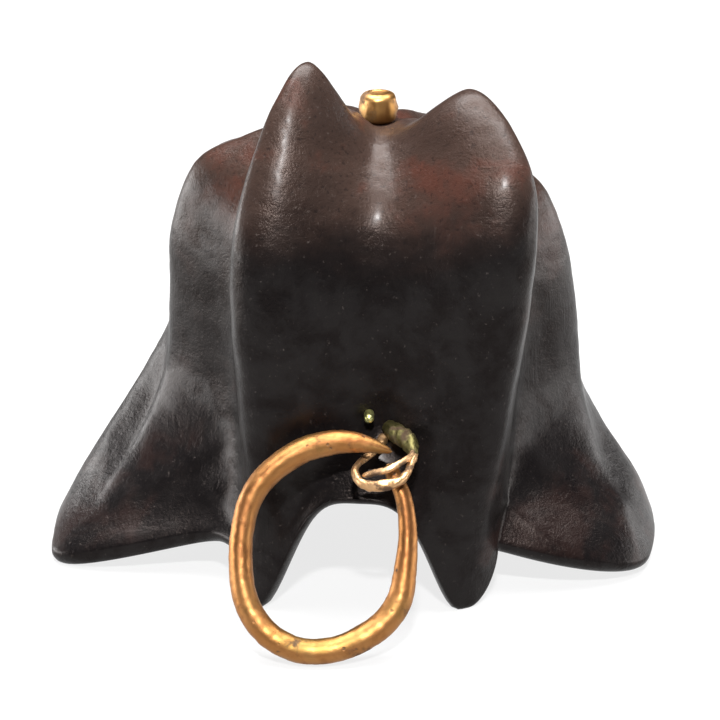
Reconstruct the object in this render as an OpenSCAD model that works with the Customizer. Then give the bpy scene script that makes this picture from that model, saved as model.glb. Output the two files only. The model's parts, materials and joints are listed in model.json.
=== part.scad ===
// Small cast bronze lobed bell, 72 mm over the wings: six fins run down from a
// saddled crown and flare into six feet. A brass stud on the crown carries the
// clapper inside; a hand-bent brass ring leans out of an eye in the front wall.
// Z is up, the feet stand on z = 0, the front looks along -Y.

/* [Body] */
// height of the crown seat above the feet
crown_h = 52; // [46:0.5:62.5]
// radius of the front channel at mid height
channel_r = 17.2; // [14.3:0.1:19.5]
// casting thickness in the channels
wall_t = 2.6; // [2.2:0.1:3.1]
// thickness of the cast edge at the feet
lip_t = 2.2; // [1.8:0.1:2.6]
// how far the two side wings reach, as a share of the drawn reach
wing_reach = 1; // [0.85:0.01:1.15]
// height of the two front ears, as a share of the drawn height
ear_rise = 1; // [0.8:0.01:1.15]

/* [Crown knob and bolt] */
// diameter of the barrel shaped knob
knob_d = 4.6; // [4:0.1:5.6]
// height of the knob above its seat
knob_h = 3.5; // [3:0.1:4.6]
// shank of the eye bolt through the crown
bolt_d = 2.4; // [2:0.1:2.8]
// wire of the eye under the crown
bolt_eye_wire = 1.6; // [1.4:0.1:1.9]
// washer under the crown
washer_d = 7.4; // [6.6:0.1:8]
// thickness of that washer
washer_t = 0.9; // [0.7:0.1:1.2]

/* [Clapper] */
// wire of the link between bolt eye and clapper
link_wire = 1.4; // [1.2:0.1:1.6]
// centre line radius of the link
link_r = 2.7; // [2.6:0.1:3]
// diameter of the clapper rod
rod_d = 1.6; // [1.4:0.1:1.8]
// largest diameter of the bob
bob_d = 10.4; // [9:0.1:11.4]
// height of the bob centre above the feet
bob_z = 15; // [13:0.5:18]

/* [Ring and eye] */
// wire of the hanging ring at its thick side
ring_wire = 3; // [2.5:0.1:3.2]
// wire of the ring where it passes the eye
ring_end_wire = 1.8; // [1.6:0.1:2.1]
// lean of the ring from the floor, degrees
ring_lean = 59.6; // [58:0.1:61]
// wire of the eye in the front wall
eye_wire = 1.6; // [1.4:0.1:1.7]
// centre line radius of the eye
eye_r = 3.1; // [3:0.1:3.4]
// shank of the eye through the wall
eye_shank_d = 2.2; // [1.8:0.1:2.6]
// small tapered key beside the eye
key_d = 1.1; // [0.9:0.1:1.4]

/* [Hidden] */
fit_gap = 0.05;
link_gap = 0.06;
seat_gap = 0.02;
fin_steps = 5;
outer_rows = 34;
inner_rows = 18;
last_station = 10;
fine = 64;

h_scale = crown_h / 52;
r_scale = channel_r / 17.2;
seat_z = crown_h - 0.5;
ceiling_z = crown_h - wall_t - 1.1;
knob_roof = 1.1;
knob_bore_depth = knob_h - knob_roof;
knob_round = 0.55;

// sections of the casting from the crown centre down to the edge: radius, height
sec_front = [[0, 52], [4.5, 51.7], [8, 50.2], [12, 47.3], [15.2, 43.5], [16.8, 37.5],
    [17.2, 31], [17.3, 24.5], [18.9, 20], [20.7, 16.5], [21.7, 14.4]];
sec_ear_right = [[0, 52], [6.5, 53.2], [12.6, 57.4], [18, 55.3], [23, 50.5], [25.3, 44],
    [25.2, 36.5], [24.8, 28], [24, 17], [23.2, 8], [23, 0.5]];
sec_side_right = [[0, 52], [4.5, 51.2], [8, 49.5], [12, 46.5], [16, 42], [17.8, 35],
    [18, 28], [18, 20], [18.9, 13], [20.4, 8.6], [21.3, 6.2]];
sec_wing_right = [[0, 52], [5.5, 51.5], [10, 49.5], [15, 46.8], [20, 42.5], [22.8, 35],
    [24, 27], [24.6, 19], [26.5, 12], [30.5, 6.5], [33.4, 2]];
sec_wing_right_rear = [[0, 52], [5.5, 51.4], [10, 49.4], [15, 46.6], [19.6, 42.5],
    [22.4, 35], [23.6, 28], [25, 19.5], [27.9, 13], [31.4, 7.6], [33.4, 2.8]];
sec_rear_right = [[0, 52], [4.5, 51], [8, 49], [12, 46], [16, 41.5], [17.8, 35],
    [18, 28], [18.5, 20], [20, 13], [23, 8], [25, 5.4]];
sec_foot_right = [[0, 52], [5.5, 51.8], [10, 50.5], [15, 48.3], [20, 44.5], [22, 37],
    [22.3, 29], [22.3, 21], [23.5, 13], [26, 6], [28, 0.6]];
sec_back = [[0, 52], [4.5, 51.3], [8, 49.6], [12, 46.8], [15.5, 42.5], [16.8, 36],
    [17, 29.5], [17.3, 23], [18.6, 17], [20.6, 12.5], [22, 10.2]];
sec_foot_left = [[0, 52], [5.5, 52], [10, 51.2], [15, 49.5], [20, 45.5], [22.3, 38],
    [22.6, 30], [22.5, 21], [23.8, 13], [26.5, 6], [28.5, 0.6]];
sec_rear_left = [[0, 52], [4.5, 51.2], [8, 49.6], [12, 46.8], [16, 42.5], [17.8, 36],
    [18.2, 29], [18.8, 21], [20.5, 14], [24, 9], [27, 5.8]];
sec_wing_left_rear = [[0, 52], [5.5, 52], [10, 51.2], [15.5, 49], [21, 46], [24.2, 37.5],
    [24.9, 29], [27.3, 22.5], [31.5, 15], [36.2, 7.2], [38.6, 2.8]];
sec_wing_left = [[0, 52], [5.5, 52.2], [10, 51.4], [16, 49.2], [21.5, 46], [24.6, 37.5],
    [25, 29], [25.5, 21], [29, 13], [34.5, 5.8], [39.2, 1.8]];
sec_side_left = [[0, 52], [4.5, 51.4], [8, 50], [12, 47.4], [16, 43], [17.8, 36],
    [18.2, 29], [18.2, 20.5], [19.2, 13.5], [21, 8.2], [22.5, 6]];
sec_ear_left = [[0, 52], [5.6, 54.6], [10.3, 60.2], [15, 57.4], [20.4, 49.8], [23.8, 42],
    [24.5, 33.5], [24.2, 25.5], [23.7, 15], [24.1, 6.5], [24.8, 0.5]];

// each column: is it a fin, its bearings at the crown, at mid height and at the edge
// from the front towards the right, wing or ear share, its section, then the gap that
// follows it: how soft the fin and how broad the channel, and at the edge how long the
// fin stays full, how soft it is and how broad the channel
soft_gap = [0.42, 2, 0, 0.42, 2.7];
columns = [
    [false, 0, 0, -5, "plain", sec_front, [0.5, 1.9, 0.06, 0.3, 3.2]],
    [true, 52, 38, 26, "ear", sec_ear_right, [0.2, 2.1, 0.05, 0.5, 0.7]],
    [false, 76, 68, 40, "plain", sec_side_right, [0.38, 2, 0, 0.3, 1.2]],
    [true, 98, 98, 72, "wing", sec_wing_right, [0.4, 2, 0, 0.4, 2.7]],
    [true, 106, 106, 93, "wing", sec_wing_right_rear, soft_gap],
    [false, 126, 126, 118, "plain", sec_rear_right, soft_gap],
    [true, 152, 152, 150, "plain", sec_foot_right, soft_gap],
    [false, 180, 180, 180, "plain", sec_back, soft_gap],
    [true, 208, 208, 208, "plain", sec_foot_left, soft_gap],
    [false, 234, 234, 240, "plain", sec_rear_left, soft_gap],
    [true, 254, 254, 267, "wing", sec_wing_left_rear, soft_gap],
    [true, 262, 262, 282, "wing", sec_wing_left, [0.34, 2, 0, 0.34, 2.7]],
    [false, 290, 292, 308, "plain", sec_side_left, [0.24, 2.1, 0, 0.24, 2.8]],
    [true, 311, 322, 324, "ear", sec_ear_left, [0.5, 1.9, 0.04, 0.3, 4]]
];
column_count = len(columns);
around = column_count * fin_steps;

function smooth(f) = f * f * (3 - 2 * f);
function clamp01(f) = min(1, max(0, f));
function wrap(i) = (i + column_count) % column_count;

// one station of a section with its wing or ear share applied
function reach_part(kind, p) = kind == "wing" && p[1] < 27
    ? (1 + (wing_reach - 1) * (27 - p[1]) / 27) : 1;
function rise_part(kind, p) = kind == "ear" && p[1] > 50 ? ear_rise : 1;
function station(kind, sec, i) =
    let (n = len(sec), k = min(n - 1, max(0, i)), p = sec[k])
    let (q = i < 0 ? [-sec[1][0], sec[1][1]] : i >= n ? 2 * sec[n - 1] - sec[n - 2] : p)
    [q[0] * r_scale * reach_part(kind, p),
     (50 + (q[1] - 50) * rise_part(kind, p)) * h_scale];

// point on a section at a running station number, and its direction there
function curve(a, b, c, d, f) = 0.5 * (2 * b + (c - a) * f
    + (2 * a - 5 * b + 4 * c - d) * f * f + (3 * b - 3 * c + d - a) * f * f * f);
function along(kind, sec, t) = let (i = min(floor(t), last_station - 1), f = t - i)
    curve(station(kind, sec, i - 1), station(kind, sec, i),
        station(kind, sec, i + 1), station(kind, sec, i + 2), f);

// the nearest channels on both sides of a column
function channel_before(j) = columns[wrap(j - 1)][0] ? wrap(j - 2) : wrap(j - 1);
function channel_after(j) = columns[wrap(j + 1)][0] ? wrap(j + 2) : wrap(j + 1);
function plain_along(j, t) = along(columns[j][4], columns[j][5], t);
function core_share(t) = 0.42 + 0.58 * smooth(clamp01((t - 5) / 5));
function core_along(j, t) = columns[j][0]
    ? let (mid = (plain_along(channel_before(j), t) + plain_along(channel_after(j), t)) / 2)
        mid + (plain_along(j, t) - mid) * core_share(t)
    : plain_along(j, t);
function slope_out(j, t) = plain_along(j, min(last_station, t + 0.05))
    - plain_along(j, max(0, t - 0.05));
function slope_core(j, t) = core_along(j, min(last_station, t + 0.05))
    - core_along(j, max(0, t - 0.05));
function thick(t) = wall_t + 0.8 * clamp01((3 - t) / 3)
    + (lip_t - wall_t) * clamp01((t - 8) / 2);
function inner_along(j, t) = let (d = slope_core(j, t), p = core_along(j, t))
    [max(0, p[0] + thick(t) * (d[1] / max(0.001, norm(d)))),
     p[1] - thick(t) * (d[0] / max(0.001, norm(d)))];
function edge_along(j) = let (d = slope_out(j, last_station),
        o = plain_along(j, last_station), n = inner_along(j, last_station))
    (o + n) / 2 + d / norm(d) * lip_t * 0.5;

// how far a point between a fin (0) and a channel (1) has dropped
function fall(s, soft, power) =
    1 - pow(1 - (sqrt(s * s + soft * soft) - soft) / (sqrt(1 + soft * soft) - soft), power);
function low_share(t) = smooth(clamp01((t - 7) / 3));
function drop(j, s, t) = let (g = columns[j][6], w = low_share(t), full = g[2] * w,
        from_fin = max(0, s - full) / (1 - full))
    fall(from_fin, g[0], g[1]) * (1 - w) + fall(from_fin, g[3], g[4]) * w;
function share(j, s, t) = let (a = columns[j][0], b = columns[wrap(j + 1)][0])
    a && !b ? drop(j, s, t)
    : !a && b ? 1 - drop(j, 1 - s, t)
    : s * (0.6 + 0.4 * s * (3 - 2 * s));
function bearing(j, t) = columns[j][1]
    + (columns[j][2] - columns[j][1]) * smooth(clamp01((t - 1.5) / 5))
    + (columns[j][3] - columns[j][2]) * smooth(clamp01((t - 6) / 4));
function turn(a, p) = [p[0] * sin(a), -p[0] * cos(a), p[1]];
function place(j, s, t, pa, pb) =
    let (a = bearing(j, t), b = bearing(wrap(j + 1), t), c = b < a ? b + 360 : b)
    turn(a + (c - a) * s, pa + (pb - pa) * share(j, s, t));

function outer_row(t) = [for (j = [0 : column_count - 1]) for (k = [0 : fin_steps - 1])
    place(j, k / fin_steps, t, plain_along(j, t), plain_along(wrap(j + 1), t))];
function inner_row(t) = [for (j = [0 : column_count - 1]) for (k = [0 : fin_steps - 1])
    place(j, k / fin_steps, t, inner_along(j, t), inner_along(wrap(j + 1), t))];
function edge_row() = [for (j = [0 : column_count - 1]) for (k = [0 : fin_steps - 1])
    place(j, k / fin_steps, last_station, edge_along(j), edge_along(wrap(j + 1)))];

rows = concat(
    [for (i = [1 : outer_rows]) outer_row(last_station * i / outer_rows)],
    [edge_row()],
    [for (i = [inner_rows : -1 : 1]) inner_row(last_station * i / inner_rows)]
);
row_count = len(rows);
top_point = row_count * around;
shell_points = concat([for (r = rows) each r],
    [[0, 0, crown_h], [0, 0, crown_h - thick(0)]]);
shell_faces = concat(
    [for (i = [0 : row_count - 2]) for (k = [0 : around - 1])
        each let (a = i * around + k, b = i * around + (k + 1) % around)
            [[a, b + around, b], [a, a + around, b + around]]],
    [for (k = [0 : around - 1]) [top_point, k, (k + 1) % around]],
    [for (k = [0 : around - 1]) let (last = (row_count - 1) * around)
        [top_point + 1, last + (k + 1) % around, last + k]]
);

// places that belong to the eye in the front wall
eye_x = 0.6;
eye_z = 18.5 * h_scale;
eye_tilt = 12;
eye_wall_r = 19.3 * r_scale;
eye_gap = 0.67;
eye_y = -eye_wall_r - eye_gap - eye_wire / 2 - eye_r * cos(eye_tilt);
shank_z = eye_z + eye_r * sin(eye_tilt);
shank_front = eye_y + eye_r * cos(eye_tilt);
burr_seat = -16.2 * r_scale;
burr_d = 5;
burr_t = 0.7;
peen_over = 1;
peen_sunk = 0.4;
peen_h = 1.3;
recess_r = 2.6;
recess_y = -20.4 * r_scale;
recess_rise = 2;
key_x = -1.1;
key_z = 22.6 * h_scale;
key_back = -13.6 * r_scale;
key_length = 5;
body_reach = 60;
bore_reach = 40;
knob_seat_gap = 0.25;
washer_seat_gap = 0.4;
burr_seat_gap = 0.3;
seat_cut = 12;
ceiling_cut = 6;

module bell_body() {
    color([0.22, 0.16, 0.13]) difference() {
        polyhedron(points = shell_points, faces = shell_faces, convexity = 10);
        // ground flat on the feet
        translate([-body_reach, -body_reach, -seat_cut])
            cube([2 * body_reach, 2 * body_reach, seat_cut]);
        // seat and bore of the crown bolt
        translate([0, 0, seat_z])
            cylinder(d = knob_d + 2 * knob_seat_gap, h = seat_cut, $fn = fine);
        translate([0, 0, crown_h - seat_cut])
            cylinder(d = bolt_d + 2 * fit_gap, h = 2 * seat_cut, $fn = fine);
        translate([0, 0, ceiling_z - ceiling_cut])
            cylinder(d = washer_d + 2 * washer_seat_gap, h = ceiling_cut, $fn = fine);
        // bore, recess and inner seat of the ring eye
        translate([eye_x, 0, shank_z]) rotate([90, 0, 0])
            cylinder(d = eye_shank_d + 2 * fit_gap, h = bore_reach, $fn = fine);
        translate([eye_x, burr_seat + ceiling_cut, shank_z]) rotate([90, 0, 0])
            cylinder(d = burr_d + 2 * burr_seat_gap, h = ceiling_cut, $fn = fine);
        translate([eye_x, recess_y, shank_z + recess_rise]) sphere(r = recess_r, $fn = fine);
        translate([key_x, -seat_cut * r_scale, key_z]) rotate([90, 0, 0])
            cylinder(d = key_d + 2 * fit_gap, h = bore_reach, $fn = fine);
    }
}

// brass barrel screwed down on the bolt end
module crown_knob() {
    r = knob_d / 2;
    color([0.72, 0.56, 0.28]) translate([0, 0, seat_z]) difference() {
        rotate_extrude($fn = fine) {
            square([r - knob_round, knob_h]);
            translate([0, knob_round]) square([r, knob_h - 2 * knob_round]);
            for (z = [knob_round, knob_h - knob_round])
                translate([r - knob_round, z]) circle(r = knob_round, $fn = 32);
        }
        translate([0, 0, -1]) cylinder(d = bolt_d + 2 * fit_gap,
            h = knob_bore_depth + 1, $fn = fine);
    }
}

collar_z = ceiling_z - washer_t - seat_gap;
collar_h = 1;
collar_d = 4.4;
bolt_top_gap = 0.3;
sunk = 0.2;
eye_sunk = 0.5;
bolt_eye_r = 2.2;
bolt_eye_z = collar_z - collar_h - bolt_eye_r - bolt_eye_wire / 2 + eye_sunk;
swing_z = bolt_eye_z - bolt_eye_r;

// bolt through the crown with a collar below and the clapper eye
module crown_bolt() {
    color([0.6, 0.48, 0.26]) union() {
        translate([0, 0, collar_z - sunk]) cylinder(d = bolt_d,
            h = seat_z + knob_bore_depth - bolt_top_gap - collar_z + sunk, $fn = fine);
        translate([0, 0, collar_z - collar_h]) cylinder(d = collar_d, h = collar_h, $fn = fine);
        translate([0, 0, bolt_eye_z]) rotate([0, 90, 0]) rotate_extrude($fn = fine)
            translate([bolt_eye_r, 0]) circle(d = bolt_eye_wire, $fn = 32);
    }
}

module crown_washer() {
    color([0.5, 0.4, 0.24]) translate([0, 0, collar_z + seat_gap / 2]) difference() {
        cylinder(d = washer_d, h = washer_t, $fn = fine);
        translate([0, 0, -washer_t]) cylinder(d = bolt_d + 2 * fit_gap, h = 3 * washer_t, $fn = fine);
    }
}

link_top_z = swing_z + bolt_eye_wire / 2 + link_wire / 2 + link_gap;
link_z = link_top_z - link_r;
rod_swing_z = link_z - link_r;

// closed link, hung in the bolt eye
module clapper_link() {
    color([0.55, 0.43, 0.24]) translate([0, 0, link_z]) rotate([90, 0, 0])
        rotate_extrude($fn = fine) translate([link_r, 0]) circle(d = link_wire, $fn = 32);
}

rod_loop_r = 2;
rod_loop_z = rod_swing_z + link_wire / 2 + link_gap + rod_d / 2 - rod_loop_r;
rod_top_z = rod_loop_z - rod_loop_r;
bob_r = bob_d / 2;
bob_half = bob_r * 1.08;
bob_neck_top = 1.9;
bob_neck_low = 1.7;
bob_washer_d = 3.6;
bob_washer_t = 0.7;
bob_washer_gap = 0.05;
rivet_over = 1.1;
rivet_gap = 0.15;
rod_foot_z = bob_z - bob_half - bob_washer_t - bob_washer_gap - rivet_gap;

// wire with its loop turned round the link and its lower end hammered over
module clapper_rod() {
    color([0.5, 0.4, 0.24]) union() {
        translate([0, 0, rod_loop_z]) rotate([0, 90, 0]) rotate_extrude($fn = fine)
            translate([rod_loop_r, 0]) circle(d = rod_d, $fn = 32);
        translate([0, 0, rod_foot_z]) cylinder(d = rod_d, h = rod_top_z - rod_foot_z, $fn = fine);
        translate([0, 0, rod_foot_z]) rotate_extrude($fn = fine) difference() {
            circle(d = rod_d + rivet_over, $fn = 48);
            translate([-rod_d * 2, -rod_d * 2]) square([rod_d * 2, rod_d * 4]);
            translate([-rod_d * 2, 0]) square(rod_d * 4);
        }
    }
}

// cast bob threaded on the rod, a little taller than wide
module clapper_bob() {
    color([0.3, 0.22, 0.17]) translate([0, 0, bob_z]) difference() {
        rotate_extrude($fn = fine) difference() {
            union() {
                circle(r = bob_r, $fn = 96);
                translate([-bob_neck_top, 0]) square([2 * bob_neck_top, bob_half]);
                translate([-bob_neck_low, -bob_half + 0.1]) square([2 * bob_neck_low, bob_half]);
            }
            translate([-bob_d, -bob_d]) square([bob_d, 2 * bob_d]);
        }
        translate([0, 0, -bob_d]) cylinder(d = rod_d + 2 * fit_gap, h = 2 * bob_d, $fn = fine);
    }
}

// rivet washer under the bob
module bob_washer() {
    color([0.66, 0.52, 0.28])
        translate([0, 0, bob_z - bob_half - bob_washer_t - bob_washer_gap]) difference() {
            cylinder(d = bob_washer_d, h = bob_washer_t, $fn = fine);
            translate([0, 0, -bob_washer_t])
                cylinder(d = rod_d + 2 * fit_gap, h = 3 * bob_washer_t, $fn = fine);
        }
}

// the wire eye that carries the ring, with its shank through the front wall
module ring_eye() {
    peen_y = burr_seat + burr_t + 2 * seat_gap;
    color([0.66, 0.5, 0.26]) union() {
        translate([eye_x, eye_y, eye_z]) rotate([-eye_tilt, 0, 0]) rotate_extrude($fn = fine)
            translate([eye_r, 0]) circle(d = eye_wire, $fn = 32);
        translate([eye_x, peen_y + peen_sunk, shank_z]) rotate([90, 0, 0])
            cylinder(d = eye_shank_d, h = peen_y + peen_sunk - shank_front, $fn = fine);
        translate([eye_x, peen_y, shank_z]) rotate([-90, 0, 0]) rotate_extrude($fn = fine)
            intersection() {
                circle(d = eye_shank_d + peen_over, $fn = 48);
                square([eye_shank_d + peen_over, peen_h]);
            }
    }
}

// washer the shank is hammered over, inside the wall
module eye_burr() {
    color([0.62, 0.5, 0.3]) translate([eye_x, burr_seat + burr_t + seat_gap, shank_z])
        rotate([90, 0, 0]) difference() {
            cylinder(d = burr_d, h = burr_t, $fn = fine);
            translate([0, 0, -burr_t])
                cylinder(d = eye_shank_d + 2 * fit_gap, h = 3 * burr_t, $fn = fine);
        }
}

// small brass key driven in beside the eye
module eye_key() {
    color([0.7, 0.62, 0.3]) translate([key_x, key_back, key_z]) rotate([90, 0, 0])
        union() {
            cylinder(d = key_d, h = key_length, $fn = fine);
            translate([0, 0, key_length]) sphere(d = key_d, $fn = fine);
        }
}

// the ring, bent by hand: points across and up its own leaning plane, then how far
// the wire has grown from its end (0) to its thick side (1), or runs out to a tip (-1)
ring_path = [[1.4, 21.4, -1], [0.2, 21.8, -0.4], [-1.3, 22.2, 0.1], [-3.2, 22.5, 0.6],
    [-5.4, 22.4, 0.9], [-8.6, 21.5, 1], [-12, 19.1, 0.95], [-14.1, 16.2, 0.85],
    [-15, 12.4, 0.8], [-15.1, 9.1, 0.85], [-14.7, 5.9, 0.9], [-13.6, 3.3, 0.95],
    [-11.6, 1.1, 0.95], [-8.5, -0.3, 0.9], [-5, -0.2, 0.9], [-1.9, 1, 1], [0.6, 2.8, 1],
    [2.2, 5.2, 0.9], [2.8, 8.2, 0.65], [3.1, 11.4, 0.35], [3, 14.3, 0.2], [2.5, 16.8, 0.1],
    [1.5, 19, 0], [0.9, 20, -0.15]];
ring_count = len(ring_path);
ring_sides = 12;
ring_steps = 3;
ring_length = 19.3;
ring_foot_y = eye_y - ring_length * cos(ring_lean);
ring_foot_z = eye_z - ring_length * sin(ring_lean);

function ring_knot(i) = ring_path[min(ring_count - 1, max(0, i))];
function ring_at(u) = let (i = min(floor(u), ring_count - 2), f = u - i)
    curve(ring_knot(i - 1), ring_knot(i), ring_knot(i + 1), ring_knot(i + 2), f);
function ring_world(p, n) = [p[0], ring_foot_y + p[1] * cos(ring_lean) - n * sin(ring_lean),
    ring_foot_z + p[1] * sin(ring_lean) + n * cos(ring_lean)];
function ring_loop(u) = let (p = ring_at(u), e = 0.05,
        d = ring_at(min(ring_count - 1, u + e)) - ring_at(max(0, u - e)),
        g = [d[0], d[1]] / norm([d[0], d[1]]),
        r = (ring_end_wire + (p[2] > 0 ? (ring_wire - ring_end_wire) * min(1, p[2])
            : ring_end_wire * 0.5 * max(-1, p[2]))) / 2)
    [for (k = [0 : ring_sides - 1]) let (a = k * 360 / ring_sides)
        ring_world([p[0] - g[1] * r * cos(a), p[1] + g[0] * r * cos(a)], r * sin(a))];
ring_rows = (ring_count - 1) * ring_steps + 1;
ring_points = [for (i = [0 : ring_rows - 1]) each ring_loop(i / ring_steps)];
ring_faces = concat(
    [[for (k = [0 : ring_sides - 1]) k]],
    [[for (k = [ring_sides - 1 : -1 : 0]) (ring_rows - 1) * ring_sides + k]],
    [for (i = [0 : ring_rows - 2]) for (k = [0 : ring_sides - 1])
        each let (a = i * ring_sides + k, b = i * ring_sides + (k + 1) % ring_sides)
            [[a, b + ring_sides, b], [a, a + ring_sides, b + ring_sides]]]
);

module hanging_ring() {
    color([0.78, 0.52, 0.25]) polyhedron(points = ring_points, faces = ring_faces,
        convexity = 6);
}

bell_body();
crown_knob();
crown_bolt();
crown_washer();
clapper_link();
clapper_rod();
clapper_bob();
bob_washer();
ring_eye();
eye_burr();
eye_key();
hanging_ring();
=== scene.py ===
import json
import math
import bpy
import numpy as np
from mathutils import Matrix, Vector, noise


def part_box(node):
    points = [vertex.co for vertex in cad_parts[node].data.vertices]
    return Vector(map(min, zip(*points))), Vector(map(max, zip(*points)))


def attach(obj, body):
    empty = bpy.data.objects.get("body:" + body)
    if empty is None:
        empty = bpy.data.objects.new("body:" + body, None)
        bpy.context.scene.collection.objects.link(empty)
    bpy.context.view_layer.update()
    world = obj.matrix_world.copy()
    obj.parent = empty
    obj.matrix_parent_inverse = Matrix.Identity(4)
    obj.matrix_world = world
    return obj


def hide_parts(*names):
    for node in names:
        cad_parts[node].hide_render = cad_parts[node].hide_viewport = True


# A small cast bronze bell with six fins, a brass knob on its crown and a bent brass
# ring leaning out of an eye in the front wall. Lengths below are in millimetres and
# the meshes are scaled to metres when they are made.

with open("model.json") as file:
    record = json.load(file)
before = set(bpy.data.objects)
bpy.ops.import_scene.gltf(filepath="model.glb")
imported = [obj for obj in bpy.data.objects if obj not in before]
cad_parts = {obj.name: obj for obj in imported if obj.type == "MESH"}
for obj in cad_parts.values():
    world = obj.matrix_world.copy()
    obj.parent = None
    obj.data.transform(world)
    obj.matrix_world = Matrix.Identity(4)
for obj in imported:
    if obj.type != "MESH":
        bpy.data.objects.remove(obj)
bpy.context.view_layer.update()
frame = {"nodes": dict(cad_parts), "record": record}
mm = 0.001
print("frame loaded")


class Val:
    # one socket that can be used in sums, so 1 - mask adds its own Math node
    def __init__(self, mat, socket):
        self.mat = mat
        self.socket = socket

    def mathNode(self, operation, first, second):
        return self.mat.add("ShaderNodeMath", {"operation": operation}, {0: first, 1: second})

    def __add__(self, other):
        return self.mathNode("ADD", self, other)

    def __radd__(self, other):
        return self.mathNode("ADD", other, self)

    def __sub__(self, other):
        return self.mathNode("SUBTRACT", self, other)

    def __rsub__(self, other):
        return self.mathNode("SUBTRACT", other, self)

    def __mul__(self, other):
        return self.mathNode("MULTIPLY", self, other)

    def __rmul__(self, other):
        return self.mathNode("MULTIPLY", other, self)

    def __abs__(self):
        return self.mathNode("ABSOLUTE", self, 0.0)

    def most(self, other):
        return self.mathNode("MAXIMUM", self, other)


class Finish:
    # a material being built: add() makes any node, the rest are short names for common ones
    def __init__(self, name):
        self.material = bpy.data.materials.new(name)
        self.material.use_nodes = True
        self.tree = self.material.node_tree
        self.shader = self.tree.nodes["Principled BSDF"]
        coords = self.tree.nodes.new("ShaderNodeTexCoord")
        self.place = Val(self, coords.outputs["Object"])
        self.facing = Val(self, coords.outputs["Normal"])

    def connect(self, value, socket):
        if isinstance(value, Val):
            self.tree.links.new(value.socket, socket)
        else:
            socket.default_value = value

    def add(self, kind, settings, values, out=0):
        node = self.tree.nodes.new(kind)
        for key, setting in settings.items():
            if key == "stops":
                self.fillRamp(node.color_ramp, setting)
            else:
                setattr(node, key, setting)
        for key, value in values.items():
            self.connect(value, node.inputs[key])
        return Val(self, node.outputs[out])

    def fillRamp(self, ramp, stops):
        while len(ramp.elements) < len(stops):
            ramp.elements.new(0.5)
        for element, (position, colour) in zip(ramp.elements, stops):
            element.position = position
            element.color = colour if len(colour) == 4 else (*colour, 1)

    def noise(self, scale, detail=4, roughness=0.5, distortion=0, place=None):
        return self.add("ShaderNodeTexNoise", {}, {"Vector": place or self.place, "Scale": scale,
            "Detail": detail, "Roughness": roughness, "Distortion": distortion}, "Fac")

    def stretched(self, factors, turn=(0, 0, 0)):
        return self.add("ShaderNodeMapping", {}, {"Vector": self.place, "Scale": factors,
            "Rotation": turn}, "Vector")

    def band(self, value, low, high, toLow=0.0, toHigh=1.0):
        return self.add("ShaderNodeMapRange", {"interpolation_type": "SMOOTHSTEP"}, {"Value": value,
            "From Min": low, "From Max": high, "To Min": toLow, "To Max": toHigh}, "Result")

    def mix(self, factor, first, second):
        return self.add("ShaderNodeMix", {"data_type": "RGBA"}, {0: factor, 6: first, 7: second}, 2)

    def part(self, vector, axis):
        return self.add("ShaderNodeSeparateXYZ", {}, {0: vector}, axis)

    def bump(self, height, strength, distance, below=None):
        values = {"Height": height, "Strength": strength, "Distance": distance}
        if below is not None:
            values["Normal"] = below
        return self.add("ShaderNodeBump", {}, values, "Normal")

    def finish(self, **sockets):
        for name, value in sockets.items():
            self.connect(value, self.shader.inputs[name.replace("_", " ")])
        return self.material


def rgb(r, g, b):
    return (r, g, b, 1)


bronzeLook = {
    "black": rgb(0.0030, 0.0026, 0.0028),   # near black: painted shade on the upright walls, also the dark grain flecks
    "brown": rgb(0.0075, 0.0052, 0.0042),   # warm brown: painted side light on faces turned to the sides, more higher up
    "wornAndLitTop": rgb(0.0240, 0.0145, 0.0115),    # painted light from above on faces turned up, more higher up
    "red": rgb(0.0400, 0.0135, 0.0090),     # coppery blush in random patches, shown only on faces turned up or to the sides and more higher up, so partly painted light
    "grey": rgb(0.0200, 0.0200, 0.0160),    # dull grey bloom in random patches, stronger on side faces as a painted sheen
    "fleck": rgb(0.12, 0.10, 0.09),
    "rough": (0.27, 0.38),
    "specular": 0.105,
    "sheen": rgb(1.0, 0.80, 0.72),
    "oiled": 0.16,                          # thin oily layer that takes the small bright lights
    "oiledRough": 0.24,
}


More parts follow.
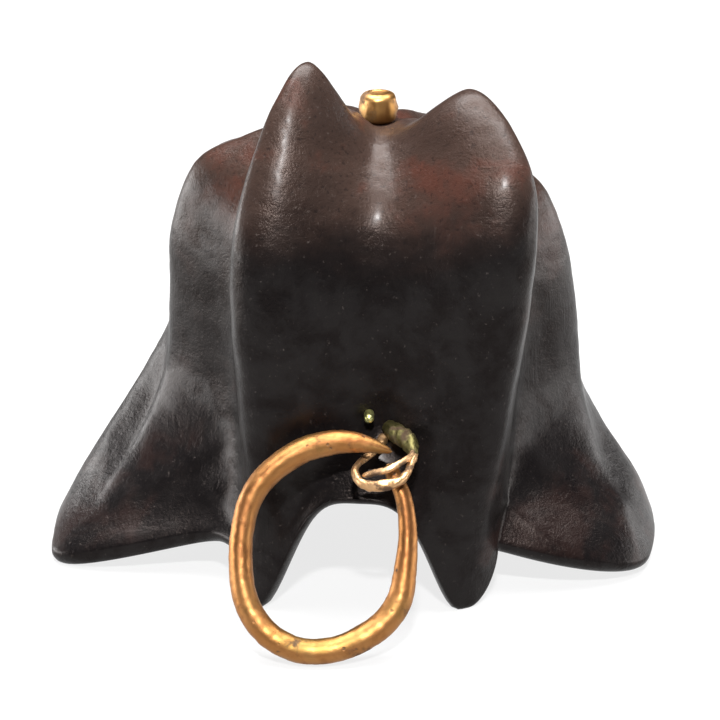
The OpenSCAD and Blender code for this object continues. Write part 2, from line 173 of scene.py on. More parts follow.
def bronzePatina():
    look = bronzeLook
    m = Finish("darkBronze")
    cloud = m.noise(70, 4, 0.55, 0.5)
    mottle = m.noise(260, 6, 0.65, 0.3)
    grain = m.noise(1900, 4, 0.65)
    sparkle = m.noise(3800, 2, 0.6)
    scratch = m.noise(900, 3, 0.6, 0.2, m.stretched((1, 1, 0.10), (0.35, 0.5, 0.2)))
    across = m.noise(800, 3, 0.6, 0.3, m.stretched((0.12, 1, 1), (0.2, 0.1, 0.3)))
    # painted light and shade: faces turned up or to the sides are coloured lighter, more so higher up,
    # and the upright walls stay near black
    up = m.band(m.part(m.facing, "Z") + 0.30 * (cloud - 0.5), 0.10, 0.62)
    side = m.band(abs(m.part(m.facing, "X")) + 0.3 * (cloud - 0.5), 0.42, 0.95)
    height = m.part(m.place, "Z")
    # painted light: the upper part of the bell is coloured lighter than the lower
    high = m.band(height, 0.022, 0.040)
    blush = m.band(cloud + 0.4 * (mottle - 0.5), 0.53, 0.68)
    # painted shade on the upright walls, painted side light on faces turned to the sides
    colour = m.mix(side * (0.25 + 0.75 * high), look["black"], look["brown"])
    # painted light from above on faces turned up
    colour = m.mix(up * high, colour, look["wornAndLitTop"])
    # the coppery patches are real tone, but painted light decides where they show: faces turned up or
    # to the sides, more higher up
    colour = m.mix(blush * (up * (0.12 + 0.60 * high)).most(side * 0.22), colour, look["red"])
    # grey bloom: random patches, with a painted sheen on faces turned to the sides
    colour = m.mix(m.band(mottle, 0.56, 0.80) * (0.10 + 0.35 * side), colour, look["grey"])
    colour = m.mix(m.band(grain, 0.62, 0.78) * 0.30, colour, look["fleck"])
    colour = m.mix(m.band(grain, 0.44, 0.32) * 0.55, colour, look["black"])
    low, top = look["rough"]
    rough = low + (top - low) * m.band(mottle, 0.30, 0.75) + 0.08 * m.band(grain, 0.45, 0.8)
    normal = m.bump(mottle, 0.30, 0.00040)
    normal = m.bump(grain, 0.45, 0.00014, normal)
    normal = m.bump(sparkle, 0.30, 0.00005, normal)
    normal = m.bump(m.band(scratch, 0.58, 0.74) + m.band(across, 0.60, 0.76), 0.30, 0.00008, normal)
    return m.finish(Base_Color=colour, Roughness=rough, Specular_IOR_Level=look["specular"],
        Specular_Tint=look["sheen"], Coat_Weight=look["oiled"] * m.band(mottle, 0.35, 0.60),
        Coat_Roughness=look["oiledRough"], Normal=normal)


ringLook = {
    "gold": rgb(0.30, 0.132, 0.042),
    "pale": rgb(0.35, 0.170, 0.062),
    "copper": rgb(0.15, 0.056, 0.018),
    "dirt": rgb(0.055, 0.030, 0.016),
    "green": rgb(0.105, 0.085, 0.020),
    # dark colour of the painted reflection band on the ring
    "stripe": rgb(0.11, 0.042, 0.016),
    "rough": (0.40, 0.54),
}


def brassFinish(name, look, dirtLow, dirtHigh, green=0.0, reflectionBandAndLowTone=False):
    m = Finish(name)
    cloud = m.noise(140, 4, 0.55, 0.5)
    patch = m.noise(420, 5, 0.6, 0.4)
    grain = m.noise(2600, 3, 0.6)
    pits = m.add("ShaderNodeTexVoronoi", {"feature": "F1"},
        {"Vector": m.place, "Scale": 900}, "Distance")
    pit = m.band(pits, 0.10, 0.24, 1.0, 0.0) * m.band(patch, 0.50, 0.62)
    colour = m.mix(m.band(cloud, 0.35, 0.65), look["gold"], look["pale"])
    colour = m.mix(m.band(patch, 0.48, 0.70) * 0.55, colour, look["copper"])
    if green > 0:
        colour = m.mix(m.band(cloud, 0.50, 0.66) * green, colour, look["green"])
    if reflectionBandAndLowTone:
        # painted reflection: a dark band along the upper limb on faces turned to the front; also a
        # darker olive tone low down on faces turned up
        front = m.part(m.facing, "Y")
        up = m.part(m.facing, "Z")
        height = m.part(m.place, "Z")
        wobble = 0.35 * (patch - 0.5)
        # painted reflection: dark band where the wire faces up at a slant and to the front
        line = m.band(abs(up + wobble - 0.55), 0.04, 0.22, 1.0, 0.0) * m.band(front, -0.3, -0.7)
        colour = m.mix(line * m.band(height, 0.006, 0.012) * 0.75, colour, look["stripe"])
        # darker olive tone low down on faces turned up
        low = m.band(height, 0.0055, 0.0015) * m.band(up + wobble, 0.25, 0.60)
        colour = m.mix(low * 0.6, colour, look["green"])
    dirt = pit.most(m.band(patch, dirtLow, dirtHigh))
    colour = m.mix(dirt * 0.85, colour, look["dirt"])
    low, top = look["rough"]
    rough = low + (top - low) * m.band(patch, 0.30, 0.70) + 0.25 * dirt
    normal = m.bump(1 - pit, 0.45, 0.00012)
    normal = m.bump(patch, 0.22, 0.00018, normal)
    normal = m.bump(grain, 0.16, 0.00005, normal)
    return m.finish(Base_Color=colour, Roughness=rough, Metallic=1.0 - 0.5 * dirt, Normal=normal)


knobLook = dict(ringLook, gold=rgb(0.30, 0.150, 0.045), pale=rgb(0.46, 0.26, 0.10),
    copper=rgb(0.09, 0.040, 0.014), rough=(0.30, 0.50))
eyeLook = dict(ringLook, gold=rgb(0.42, 0.23, 0.10), pale=rgb(0.56, 0.36, 0.19))
# painted shade: the eye's root, which runs back into the recess, gets a much darker copy of the eye's
# brass
eyeRootShadeLook = dict(ringLook, gold=rgb(0.075, 0.065, 0.026), pale=rgb(0.13, 0.115, 0.045),
    copper=rgb(0.05, 0.036, 0.018), rough=(0.40, 0.62))
keyLook = dict(ringLook, gold=rgb(0.36, 0.34, 0.11), pale=rgb(0.60, 0.60, 0.28),
    copper=rgb(0.20, 0.20, 0.06))
dullLook = dict(ringLook, gold=rgb(0.26, 0.18, 0.085), pale=rgb(0.38, 0.28, 0.14),
    copper=rgb(0.15, 0.09, 0.045), rough=(0.36, 0.60))
bobLook = dict(ringLook, gold=rgb(0.12, 0.085, 0.05), pale=rgb(0.20, 0.14, 0.085),
    copper=rgb(0.065, 0.042, 0.028), rough=(0.38, 0.62))

bronze = bronzePatina()
ringBrass = brassFinish("ringBrass", ringLook, 0.60, 0.74, 0.35, True)
eyeBrass = brassFinish("eyeBrass", eyeLook, 0.52, 0.62)
eyeRootShadeBrass = brassFinish("eyeRootShadeBrass", eyeRootShadeLook, 0.50, 0.64)
knobBrass = brassFinish("knobBrass", knobLook, 0.52, 0.66)
keyBrass = brassFinish("keyBrass", keyLook, 0.66, 0.80, 0.6)
dullBrass = brassFinish("dullBrass", dullLook, 0.58, 0.74, 0.2)
bobBronze = brassFinish("bobBronze", bobLook, 0.58, 0.74)
print("finishes made")


def makePiece(name, points, faces, material, body, node):
    mesh = bpy.data.meshes.new(name)
    mesh.from_pydata([tuple(p) for p in np.asarray(points) * mm], [], faces)
    mesh.polygons.foreach_set("use_smooth", [True] * len(mesh.polygons))
    mesh.materials.append(material)
    mesh.update()
    piece = bpy.data.objects.new(name, mesh)
    bpy.context.scene.collection.objects.link(piece)
    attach(piece, body)
    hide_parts(node)
    return piece


def gridFaces(rowCount, around):
    faces = []
    for i in range(rowCount - 1):
        for k in range(around):
            nextK = (k + 1) % around
            above = i * around
            below = above + around
            faces.append((above + k, below + k, below + nextK, above + nextK))
    return faces


def smoothStep(f):
    f = np.clip(f, 0, 1)
    return f * f * (3 - 2 * f)


def splineAt(knots, t):
    # Catmull-Rom through knots at running station numbers t
    knots = np.asarray(knots, float)
    first = 2 * knots[0] - knots[1]
    last = 2 * knots[-1] - knots[-2]
    padded = np.vstack([first, knots, last])
    i = np.clip(np.floor(t).astype(int), 0, len(knots) - 2)
    f = (t - i)[:, None]
    a, b, c, d = padded[i], padded[i + 1], padded[i + 2], padded[i + 3]
    square = (2 * a - 5 * b + 4 * c - d) * f ** 2
    cube = (3 * b - 3 * c + d - a) * f ** 3
    return 0.5 * (2 * b + (c - a) * f + square + cube)


def waver(points, scale, seed):
    # smooth random height between -1 and 1 at each point
    shift = Vector((seed * 17.3, seed * -9.1, seed * 5.7))
    return np.array([noise.noise(Vector(p) * scale + shift) for p in points])


def rowNormals(grid):
    around = np.roll(grid, -1, axis=1) - np.roll(grid, 1, axis=1)
    down = np.gradient(grid, axis=0)
    normal = np.cross(down, around)
    length = np.linalg.norm(normal, axis=2, keepdims=True)
    return normal / np.maximum(length, 1e-9)


bell = {
    "crown": 52,
    "wall": 2.6,
    "lip": 2.2,
    "lipRound": 0.36,
    "crownExtra": 0.8,      # the casting is thicker under the knob
    "stations": 10,
    "rows": 220,
    "innerRows": 60,
    "edgeRows": 9,
    "steps": 24,            # columns between two sections
    "inset": 0.10,          # the worked skin stays this far inside the drawn one
    "within": 0.02,         # and every point this far inside its box
    "channelReach": 18,     # columns softened on each side of the front channel's middle
    "channelPasses": 40,
    "lumps": 0.20,          # how far the hand-worked surface wanders
    "hollows": 0.10,
    "dimples": 0.035,
    "seat": (51.5, 2.6, 3.4),           # flat under the knob: height, its radius, where it ends
    "pocket": (0.4, 21.4, 3.0, 1.3),    # worn pocket above the eye: x, z, radius, depth
    # raised tool lines: bearing and height of both ends, how high and how broad
    "ridges": [(45, 12.0, 55, 4.6, 0.30, 0.55), (-70, 15, -78, 7, 0.25, 1.0),
        (62, 15, 70, 9, 0.35, 1.6), (74, 9, 78, 5, 0.30, 1.4), (-62, 13, -66, 8, 0.25, 1.5)],
}

# a gap between two sections: how soft the fin is and how broad the channel, then at the
# edge how long the fin stays full, how soft it is and how broad the channel is
softGap = (0.42, 2, 0, 0.42, 2.7)

# each section: is it a fin, its bearings at the crown, mid height and edge, the gap that
# follows it, then radius and height from the crown centre down to the edge
sections = [
    (False, (0, 0, -5), (0.5, 1.9, 0.06, 0.3, 3.2), [(0, 52), (4.5, 51.7), (8, 50.2), (12, 47.3),
        (15.2, 43.5), (16.8, 37.5), (17.2, 31), (17.3, 24.5), (18.9, 20), (20.7, 16.5), (21.7, 14.4)]),
    (True, (52, 38, 26), (0.2, 2.1, 0.05, 0.5, 0.7), [(0, 52), (6.5, 53.2), (12.6, 57.4),
        (18, 55.3), (23, 50.5), (25.3, 44), (25.2, 36.5), (24.8, 28), (24, 17), (23.2, 8), (23, 0.5)]),
    (False, (76, 68, 40), (0.38, 2, 0, 0.3, 1.2), [(0, 52), (4.5, 51.2), (8, 49.5), (12, 46.5),
        (16, 42), (17.8, 35), (18, 28), (18, 20), (18.9, 13), (20.4, 8.6), (21.3, 6.2)]),
    (True, (98, 98, 72), (0.4, 2, 0, 0.4, 2.7), [(0, 52), (5.5, 51.5), (10, 49.5), (15, 46.8),
        (20, 42.5), (22.8, 35), (24, 27), (24.6, 19), (26.5, 12), (30.5, 6.5), (33.4, 2)]),
    (True, (106, 106, 93), softGap, [(0, 52), (5.5, 51.4), (10, 49.4), (15, 46.6),
        (19.6, 42.5), (22.4, 35), (23.6, 28), (25, 19.5), (27.9, 13), (31.4, 7.6), (33.4, 2.8)]),
    (False, (126, 126, 118), softGap, [(0, 52), (4.5, 51), (8, 49), (12, 46), (16, 41.5),
        (17.8, 35), (18, 28), (18.5, 20), (20, 13), (23, 8), (25, 5.4)]),
    (True, (152, 152, 150), softGap, [(0, 52), (5.5, 51.8), (10, 50.5), (15, 48.3),
        (20, 44.5), (22, 37), (22.3, 29), (22.3, 21), (23.5, 13), (26, 6), (28, 0.6)]),
    (False, (180, 180, 180), softGap, [(0, 52), (4.5, 51.3), (8, 49.6), (12, 46.8),
        (15.5, 42.5), (16.8, 36), (17, 29.5), (17.3, 23), (18.6, 17), (20.6, 12.5), (22, 10.2)]),
    (True, (208, 208, 208), softGap, [(0, 52), (5.5, 52), (10, 51.2), (15, 49.5),
        (20, 45.5), (22.3, 38), (22.6, 30), (22.5, 21), (23.8, 13), (26.5, 6), (28.5, 0.6)]),
    (False, (234, 234, 240), softGap, [(0, 52), (4.5, 51.2), (8, 49.6), (12, 46.8),
        (16, 42.5), (17.8, 36), (18.2, 29), (18.8, 21), (20.5, 14), (24, 9), (27, 5.8)]),
    (True, (254, 254, 267), softGap, [(0, 52), (5.5, 52), (10, 51.2), (15.5, 49),
        (21, 46), (24.2, 37.5), (24.9, 29), (27.3, 22.5), (31.5, 15), (36.2, 7.2), (38.6, 2.8)]),
    (True, (262, 262, 282), (0.34, 2, 0, 0.34, 2.7), [(0, 52), (5.5, 52.2), (10, 51.4), (16, 49.2),
        (21.5, 46), (24.6, 37.5), (25, 29), (25.5, 21), (29, 13), (34.5, 5.8), (39.2, 1.8)]),
    (False, (290, 292, 308), (0.24, 2.1, 0, 0.24, 2.8), [(0, 52), (4.5, 51.4), (8, 50), (12, 47.4),
        (16, 43), (17.8, 36), (18.2, 29), (18.2, 20.5), (19.2, 13.5), (21, 8.2), (22.5, 6)]),
    (True, (311, 322, 324), (0.5, 1.9, 0.04, 0.3, 4), [(0, 52), (5.6, 54.6), (10.3, 60.2),
        (15, 57.4), (20.4, 49.8), (23.8, 42), (24.5, 33.5), (24.2, 25.5), (23.7, 15), (24.1, 6.5),
        (24.8, 0.5)]),
]
sectionCount = len(sections)
isFin = [s[0] for s in sections]


def outerCurve(j, t):
    return splineAt(sections[j][3], t)


def channelBeside(j, step):
    near = (j + step) % sectionCount
    return near if not isFin[near] else (near + step) % sectionCount


def coreCurve(j, t):
    own = outerCurve(j, t)
    if not isFin[j]:
        return own
    middle = (outerCurve(channelBeside(j, -1), t) + outerCurve(channelBeside(j, 1), t)) / 2
    share = (0.42 + 0.58 * smoothStep((t - 5) / 5))[:, None]
    return middle + (own - middle) * share


def slopeOf(curve, j, t):
    d = curve(j, np.minimum(bell["stations"], t + 0.05)) - curve(j, np.maximum(0, t - 0.05))
    return d / np.maximum(1e-3, np.linalg.norm(d, axis=1))[:, None]


def innerCurve(j, t):
    d = slopeOf(coreCurve, j, t)
    thick = (bell["wall"] + bell["crownExtra"] * np.clip((3 - t) / 3, 0, 1)
        + (bell["lip"] - bell["wall"]) * np.clip((t - 8) / 2, 0, 1))
    p = coreCurve(j, t)
    return np.stack([np.maximum(0, p[:, 0] + thick * d[:, 1]), p[:, 1] - thick * d[:, 0]], axis=1)


def edgeCurve(j, turns):
    # round edge from the outer to the inner surface, kept inside the casting's own edge
    t = np.array([float(bell["stations"])])
    outer = outerCurve(j, t)[0]
    inner = innerCurve(j, t)[0]
    middle = (outer + inner) / 2
    across = (outer - inner) / 2
    along = slopeOf(outerCurve, j, t)[0] * bell["lip"] * bell["lipRound"]
    a = np.asarray(turns)[:, None]
    return middle + across * np.cos(a) + along * np.sin(a)


def fall(s, soft, power):
    h = (np.sqrt(s * s + soft * soft) - soft) / (np.sqrt(1 + soft * soft) - soft)
    return 1 - (1 - h) ** power


def dropShare(s, t, gap):
    # 0 on a fin, 1 in a channel
    low = smoothStep((t - 7) / 3)
    full = gap[2] * low
    fromFin = np.maximum(0, s - full) / (1 - full)
    return fall(fromFin, gap[0], gap[1]) * (1 - low) + fall(fromFin, gap[3], gap[4]) * low


def bearingAt(j, t):
    crown, middle, edge = sections[j][1]
    return (crown + (middle - crown) * smoothStep((t - 1.5) / 5)
        + (edge - middle) * smoothStep((t - 6) / 4))


def spread(curves, t):
    # rows of points round the bell from one profile per section
    grid = np.zeros((len(t), sectionCount * bell["steps"], 3))
    for j in range(sectionCount):
        nxt = (j + 1) % sectionCount
        bearing = bearingAt(j, t)
        after = bearingAt(nxt, t)
        after = np.where(after < bearing, after + 360, after)
        for k in range(bell["steps"]):
            s = k / bell["steps"]
            if isFin[j] and not isFin[nxt]:
                share = dropShare(s, t, sections[j][2])
            elif not isFin[j] and isFin[nxt]:
                share = 1 - dropShare(1 - s, t, sections[j][2])
            else:
                share = np.full(len(t), s * (0.6 + 0.4 * s * (3 - 2 * s)))
            profile = curves[j] + (curves[nxt] - curves[j]) * share[:, None]
            angle = np.radians(bearing + (after - bearing) * s)
            column = j * bell["steps"] + k
            grid[:, column, 0] = profile[:, 0] * np.sin(angle)
            grid[:, column, 1] = -profile[:, 0] * np.cos(angle)
            grid[:, column, 2] = profile[:, 1]
    return grid


def softened(grid, reach, passes):
    # takes the crease out of the front channel, column 0, by blending each point with its
    # neighbours round the bell
    columns = np.arange(-reach, reach + 1)
    weight = (0.5 * np.cos(np.pi * columns / reach) + 0.5)[None, :, None]
    for i in range(passes):
        blended = (grid[:, columns - 1] + 2 * grid[:, columns] + grid[:, columns + 1]) / 4
        grid[:, columns] = grid[:, columns] * (1 - weight) + blended * weight
    return grid


def toolLines(grid):
    # low raised lines left by the modelling tool, each between two points on the wall
    bearing = np.degrees(np.arctan2(grid[..., 0], -grid[..., 1]))
    reach = np.hypot(grid[..., 0], grid[..., 1])
    raised = np.zeros(grid.shape[:2])
    for fromTurn, fromZ, toTurn, toZ, tall, broad in bell["ridges"]:
        across = np.radians(toTurn - fromTurn) * reach
        fallZ = toZ - fromZ
        length = across ** 2 + fallZ ** 2
        dx = np.radians(bearing - fromTurn) * reach
        dz = grid[..., 2] - fromZ
        f = np.clip((dx * across + dz * fallZ) / np.maximum(length, 1e-6), 0, 1)
        away = np.hypot(dx - f * across, dz - f * fallZ)
        raised += tall * np.exp(-(away / broad) ** 2) * (0.35 + 0.65 * np.sin(np.pi * f))
    return raised


def bellBody():
    last = bell["stations"]
    tOut = last * np.arange(1, bell["rows"] + 1) / bell["rows"]
    tIn = last * np.arange(bell["innerRows"], 0, -1) / bell["innerRows"]
    turns = np.pi * np.arange(1, bell["edgeRows"]) / bell["edgeRows"]
    outer = spread([outerCurve(j, tOut) for j in range(sectionCount)], tOut)
    atEdge = np.full(len(turns), float(last))
    edge = spread([edgeCurve(j, turns) for j in range(sectionCount)], atEdge)
    inner = spread([innerCurve(j, tIn) for j in range(sectionCount)], tIn)

    outer = softened(outer, bell["channelReach"], bell["channelPasses"])
    normal = rowNormals(outer)
    flat = outer.reshape(-1, 3)
    lump = (waver(flat, 0.10, 1) * bell["lumps"] + waver(flat, 0.24, 2) * bell["hollows"]
        + waver(flat, 0.8, 4) * bell["dimples"]).reshape(outer.shape[:2])
    px, pz, pr, depth = bell["pocket"]
    away = np.hypot(outer[..., 0] - px, (outer[..., 2] - pz) * 0.8) / pr
    pocket = np.where(outer[..., 1] < -10, depth * np.exp(-(away ** 2) * 1.6), 0)
    calm = np.clip((last - tOut) / 1.2, 0.15, 1)[:, None]
    skin = np.minimum(lump, bell["inset"]) + toolLines(outer) - bell["inset"]
    outer += normal * (skin * calm - pocket)[..., None]

    seatZ, seatReach, seatEnd = bell["seat"]
    reach = np.hypot(outer[..., 0], outer[..., 1])
    flatness = 1 - smoothStep((reach - seatReach) / (seatEnd - seatReach))
    outer[..., 2] = np.where(reach < seatEnd,
        outer[..., 2] + (seatZ - outer[..., 2]) * flatness, outer[..., 2])

    grid = np.concatenate([outer, edge, inner])
    # no point of the skin passes the drawn casting's own box, and the feet stand on its floor
    low, high = [np.array(corner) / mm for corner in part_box("bell_body")]
    grid = np.clip(grid, low + [bell["within"], bell["within"], 0], high - bell["within"])
    rowCount, around = grid.shape[:2]
    ceiling = bell["crown"] - bell["wall"] - bell["crownExtra"]
    points = np.vstack([grid.reshape(-1, 3), [[0, 0, seatZ]], [[0, 0, ceiling]]])
    faces = gridFaces(rowCount, around)
    topPoint = rowCount * around
    lastRow = (rowCount - 1) * around
    for k in range(around):
        nextK = (k + 1) % around
        faces.append((topPoint, k, nextK))
        faces.append((topPoint + 1, lastRow + nextK, lastRow + k))
    return makePiece("bellCasting", points, faces, bronze, "bell", "bell_body")


bellBody()
print("bell casting made")


knobLow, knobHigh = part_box("crown_knob")
knob = {
    "radius": (knobHigh.x - knobLow.x) / 2 / mm,
    "height": (knobHigh.z - knobLow.z) / mm,
    "seat": knobLow.z / mm,
    "round": 0.95,
    "belly": 0.16,      # how much the ends are smaller than the middle
    "dent": 0.12,
    "wornAndLitTop": 0.20,
    "within": 0.01,     # kept this much inside the drawn knob
    "hub": 0.3,
    "sides": 72,
}


def crownKnob():
    around = knob["sides"]
    r = knob["radius"] - knob["within"]
    h = knob["height"] - knob["within"]
    e = knob["round"]
    middle = r - knob["belly"] - e
    profile = [(knob["hub"], 0.0), (r - e, 0.0)]
    for a in np.radians(np.linspace(-90, 0, 7)[1:]):
        profile.append((middle + e * math.cos(a), e + e * math.sin(a)))
    profile.append((r, h * 0.5))
    for a in np.radians(np.linspace(0, 90, 9)):
        profile.append((middle + e * math.cos(a), h - e + e * math.sin(a)))
    # the top is dished and falls to the hub
    profile.append((r * 0.55, h - 0.03))
    profile.append((r * 0.40, h - knob["dent"]))
    profile.append((knob["hub"], h - knob["dent"] - 0.03))
    rows = []
    for radius, z in profile:
        angles = np.arange(around) * 2 * np.pi / around
        rows.append(np.stack([radius * np.cos(angles), radius * np.sin(angles),
            np.full(around, knob["seat"] + z)], axis=1))
    grid = np.array(rows)
    wander = waver(grid.reshape(-1, 3), 0.9, 5).reshape(grid.shape[:2])
    wornAndLitTop = np.minimum(0, wander + 0.1) * knob["wornAndLitTop"]
    reach = np.hypot(grid[..., 0], grid[..., 1])
    scale = 1 + np.where(reach > 1.2, wornAndLitTop / np.maximum(reach, 0.5), 0)
    grid[..., 0] *= scale
    grid[..., 1] *= scale
    points = np.vstack([grid.reshape(-1, 3), [[0, 0, knob["seat"]]],
        [[0, 0, knob["seat"] + h - knob["dent"] - 0.04]]])
    faces = [tuple(reversed(f)) for f in gridFaces(len(rows), around)]
    bottom = len(points) - 2
    top = len(points) - 1
    lastRow = (len(rows) - 1) * around
    for k in range(around):
        nextK = (k + 1) % around
        faces.append((bottom, nextK, k))
        faces.append((top, lastRow + k, lastRow + nextK))
    return makePiece("crownKnobTurned", points, faces, knobBrass, "bell", "crown_knob")


crownKnob()
print("crown knob made")


def wireTube(path, radii, sides, section, seed, rough):
    # tube along points; section(angle, row) gives the share of the radius at an angle
    path = np.asarray(path, float)
    count = len(path)
    ahead = np.gradient(path, axis=0)
    ahead /= np.linalg.norm(ahead, axis=1, keepdims=True)
    middle = path.mean(axis=0)
    plane = np.linalg.svd(path - middle)[2][2]
    side = np.cross(ahead, plane)
    side /= np.linalg.norm(side, axis=1, keepdims=True)
    lift = np.cross(side, ahead)
    angles = np.arange(sides) * 2 * np.pi / sides
    grid = np.zeros((count, sides, 3))
    for i in range(count):
        share = section(angles, i / count)
        r = radii[i] * share
        grid[i] = (path[i] + np.outer(np.cos(angles) * r, side[i])
            + np.outer(np.sin(angles) * r, lift[i]))
    centre = path[:, None, :]
    wander = waver(grid.reshape(-1, 3), 1.3, seed).reshape(count, sides)
    fine = waver(grid.reshape(-1, 3), 4.0, seed + 1).reshape(count, sides)
    shrink = (1 + rough * (np.minimum(wander, 0.15) - 0.15)
        + rough * 0.5 * (np.minimum(fine, 0.1) - 0.1))
    return centre + (grid - centre) * shrink[..., None]


def tubePiece(name, grid, material, body, node):
    count, sides = grid.shape[:2]
    points = grid.reshape(-1, 3)
    faces = gridFaces(count, sides)
    faces.append(tuple(reversed(range(sides))))
    faces.append(tuple((count - 1) * sides + k for k in range(sides)))
    faces = [tuple(reversed(f)) for f in faces]
    return makePiece(name, points, faces, material, body, node)


joints = {joint["name"]: joint for joint in frame["record"]["behaviour"]["joints"]}
ringHinge = joints["ring_swing"]
eyeCentre = np.array(ringHinge["pos_m"]) / mm
ring = {
    "lean": 59.6,
    "length": 19.3,
    "thick": 3.0,
    "thin": 1.8,
    "tip": 0.45,
    "sides": 32,
    "perKnot": 14,
    # across, up its own plane, then 1 thick, 0 thin, -1 run out to a tip
    "path": [(1.4, 21.4, -1), (0.2, 21.8, -0.4), (-1.3, 22.2, 0.1), (-3.2, 22.5, 0.6),
        (-5.4, 22.4, 0.9), (-8.6, 21.5, 1), (-12, 19.1, 0.95), (-14.1, 16.2, 0.85),
        (-15, 12.4, 0.8), (-15.1, 9.1, 0.85), (-14.7, 5.9, 0.9), (-13.6, 3.3, 0.95),
        (-11.6, 1.1, 0.95), (-8.5, -0.3, 0.9), (-5, -0.2, 0.9), (-1.9, 1, 1), (0.6, 2.8, 1),
        (2.2, 5.2, 0.9), (2.8, 8.2, 0.65), (3.1, 11.4, 0.35), (3, 14.3, 0.2), (2.5, 16.8, 0.1),
        (1.5, 19, 0), (0.9, 20, -0.15)],
}


def leaningPlane(across, up):
    lean = math.radians(ring["lean"])
    footY = eyeCentre[1] - ring["length"] * math.cos(lean)
    footZ = eyeCentre[2] - ring["length"] * math.sin(lean)
    return np.stack([across, footY + up * math.cos(lean), footZ + up * math.sin(lean)], axis=1)


def hangingRing():
    knots = np.array(ring["path"], float)
    steps = (len(knots) - 1) * ring["perKnot"]
    t = np.linspace(0, len(knots) - 1, steps + 1)
    flow = splineAt(knots, t)
    grown = np.clip(flow[:, 2], -1, 1)
    width = np.where(grown > 0, ring["thin"] + (ring["thick"] - ring["thin"]) * grown,
        ring["thin"] + (ring["thin"] - ring["tip"]) * grown)
    fromEnd = np.minimum(t, len(knots) - 1 - t) * ring["perKnot"] / 2
    width = width * np.sqrt(np.clip((fromEnd + 0.15) / 2, 0, 1))
    path = leaningPlane(flow[:, 0], flow[:, 1])

    def hammered(angles, place):
        flat = 0.030 * np.cos(2 * angles + 9 * place) + 0.018 * np.cos(3 * angles - 14 * place)
        return 0.970 + np.minimum(flat, 0.025)

    grid = wireTube(path, width / 2, ring["sides"], hammered, seed=7, rough=0.045)
    return tubePiece("ringWire", grid, ringBrass, "ring", "hanging_ring")


# an uneven open loop, a thinner strand across it and the root that rises to the wall, coloured darker
# as painted shade;
# every point is x, y, z from the middle of the eye, then the wire's radius there
eye = {
    "sides": 24,
    "perKnot": 10,
    "loop": [(0.2, 6.8, 1.7, 0.6), (-0.4, 4.8, 1.25, 0.6), (-1.7, 2.9, 0.6, 0.48),
        (-2.9, 1.2, 0.3, 0.42), (-3.3, -0.4, 0.1, 0.42), (-2.7, -1.9, -0.45, 0.5),
        (-1.6, -2.6, -0.65, 0.58), (-0.5, -2.9, -0.5, 0.62), (0.7, -2.75, -0.4, 0.60),
        (1.7, -2.2, -0.2, 0.56), (2.4, -1.3, 0.2, 0.5), (2.85, -0.3, 0.8, 0.45),
        (3.2, 0.8, 1.3, 0.5), (3.1, 1.6, 1.7, 0.55)],
    "strand": [(-2.5, -0.9, -0.15, 0.2), (-1.9, -1.2, 0.05, 0.34), (-1.0, -1.5, 0.5, 0.40),
        (0.15, -1.6, 0.8, 0.40), (1.25, -1.3, 1.2, 0.38), (2.15, -0.6, 1.5, 0.38),
        (2.95, 0.5, 1.55, 0.42), (3.1, 1.5, 1.8, 0.45)],
    "root": [(3.25, 0.7, 1.35, 0.42), (3.1, 1.5, 1.8, 0.75), (2.6, 2.6, 2.3, 1.0),
        (2.0, 3.8, 2.5, 1.15), (1.3, 5.2, 2.4, 1.2), (0.8, 7.4, 2.2, 1.2)],
}


def eyeWire(name, points, material, rough, seed):
    knots = np.array(points, float)
    t = np.linspace(0, len(knots) - 1, (len(knots) - 1) * eye["perKnot"] + 1)
    flow = splineAt(knots, t)
    fromEnd = np.minimum(t, len(knots) - 1 - t) * eye["perKnot"] / 2
    radii = flow[:, 3] * np.sqrt(np.clip((fromEnd + 0.2) / 2, 0, 1))

    def beaten(angles, place):
        return 1 + 0.10 * np.cos(2 * angles + 5 * place) + 0.05 * np.cos(3 * angles - 11 * place)

    grid = wireTube(flow[:, :3] + eyeCentre, radii, eye["sides"], beaten, seed=seed, rough=rough)
    return tubePiece(name, grid, material, "bell", "ring_eye")


def ringEye():
    eyeWire("eyeLoop", eye["loop"], eyeBrass, 0.22, 11)
    eyeWire("eyeStrand", eye["strand"], eyeBrass, 0.35, 15)
    # the root takes the darker brass as painted shade
    eyeWire("eyeRoot", eye["root"], eyeRootShadeBrass, 0.30, 19)


ringEye()
print("ring eye made")
hangingRing()
print("ring made")

nodeFinish = {
    "crown_bolt": dullBrass,
    "crown_washer": dullBrass,
    "clapper_link": dullBrass,
    "clapper_rod": dullBrass,
    "clapper_bob": bobBronze,
    "bob_washer": dullBrass,
    "eye_burr": dullBrass,
    "eye_key": keyBrass,
}
for nodeName, material in nodeFinish.items():
    node = frame["nodes"][nodeName]
    for slotIndex in range(len(node.material_slots)):
        node.material_slots[slotIndex].material = material
print("carried parts finished")

stage = {
    "target": (-2.1, 0, 22.4),
    "elevation": 21,
    "distance": 285,
    "lens": 120.4,
    "floor": rgb(0.10, 0.10, 0.10),
    "glow": 0.80,       # the floor's own soft light, so that shadows stay faint
    "world": 0.03,
}


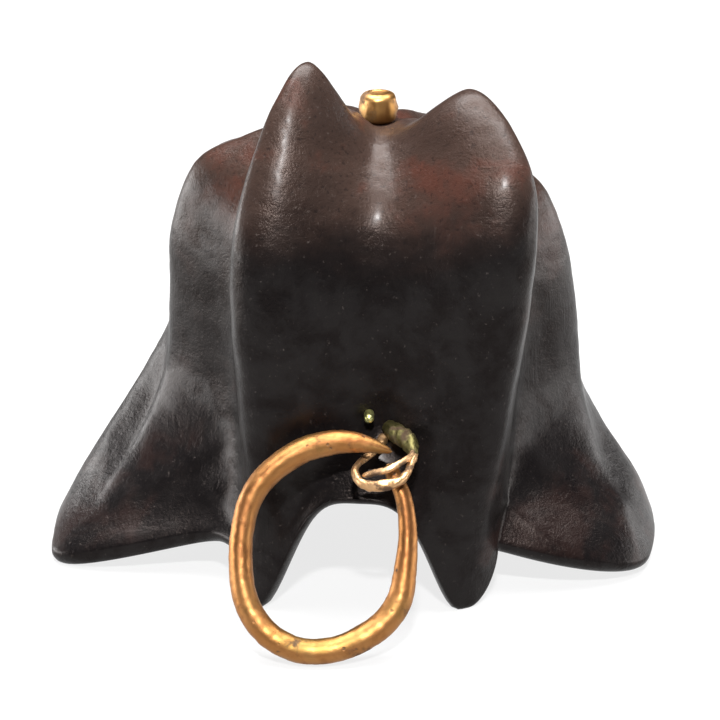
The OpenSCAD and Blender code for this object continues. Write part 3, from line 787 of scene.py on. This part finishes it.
def makeFloor():
    mesh = bpy.data.meshes.new("floorSheet")
    size = 4.0
    corners = [(-size, -size, 0), (size, -size, 0), (size, size, 0), (-size, size, 0)]
    mesh.from_pydata(corners, [], [(0, 1, 2, 3)])
    floor = bpy.data.objects.new("floorSheet", mesh)
    bpy.context.scene.collection.objects.link(floor)
    m = Finish("paleFloor")
    cloud = m.noise(3, 2, 0.5)
    tone = m.mix(m.band(cloud, 0.3, 0.7), stage["floor"], rgb(0.09, 0.09, 0.09))
    mesh.materials.append(m.finish(Base_Color=tone, Roughness=0.9, Specular_IOR_Level=0.0,
        Emission_Color=rgb(1, 1, 1), Emission_Strength=stage["glow"]))


def softLight(name, place, aim, size, power, colour=(1, 1, 1)):
    data = bpy.data.lights.new(name, "AREA")
    data.shape = "RECTANGLE"
    data.size, data.size_y = size
    data.energy = power
    data.color = colour
    light = bpy.data.objects.new(name, data)
    light.location = place
    light.rotation_mode = "QUATERNION"
    light.rotation_quaternion = (Vector(aim) - Vector(place)).to_track_quat("-Z", "Y")
    bpy.context.scene.collection.objects.link(light)


def makeLights():
    world = bpy.data.worlds.new("softRoom")
    world.use_nodes = True
    world.node_tree.nodes["Background"].inputs["Color"].default_value = (1, 1, 1, 1)
    world.node_tree.nodes["Background"].inputs["Strength"].default_value = stage["world"]
    bpy.context.scene.world = world
    middle = (0, 0, 0.03)
    softLight("frontLamp", (0.0, -0.36, 0.42), middle, (0.045, 0.03), 5.0)
    softLight("overhead", (0.0, 0.08, 0.50), middle, (0.55, 0.36), 11.5)
    softLight("leftCard", (-0.34, 0.06, 0.012), (0, 0.01, 0.02), (0.40, 0.20), 2.8)
    softLight("rightCard", (0.34, 0.06, 0.012), (0, 0.01, 0.02), (0.40, 0.20), 1.4)


def makeCamera():
    data = bpy.data.cameras.new("camera")
    data.lens = stage["lens"]
    camera = bpy.data.objects.new("camera", data)
    elevation = math.radians(stage["elevation"])
    back = Vector((0, -math.cos(elevation), math.sin(elevation)))
    camera.location = (Vector(stage["target"]) + back * stage["distance"]) * mm
    camera.rotation_mode = "QUATERNION"
    camera.rotation_quaternion = (-back).to_track_quat("-Z", "Y")
    data.clip_start, data.clip_end = 0.01, 20
    bpy.context.scene.collection.objects.link(camera)
    bpy.context.scene.camera = camera


makeFloor()
makeLights()
makeCamera()
bpy.context.scene.view_settings.view_transform = "Standard"
print("stage set")
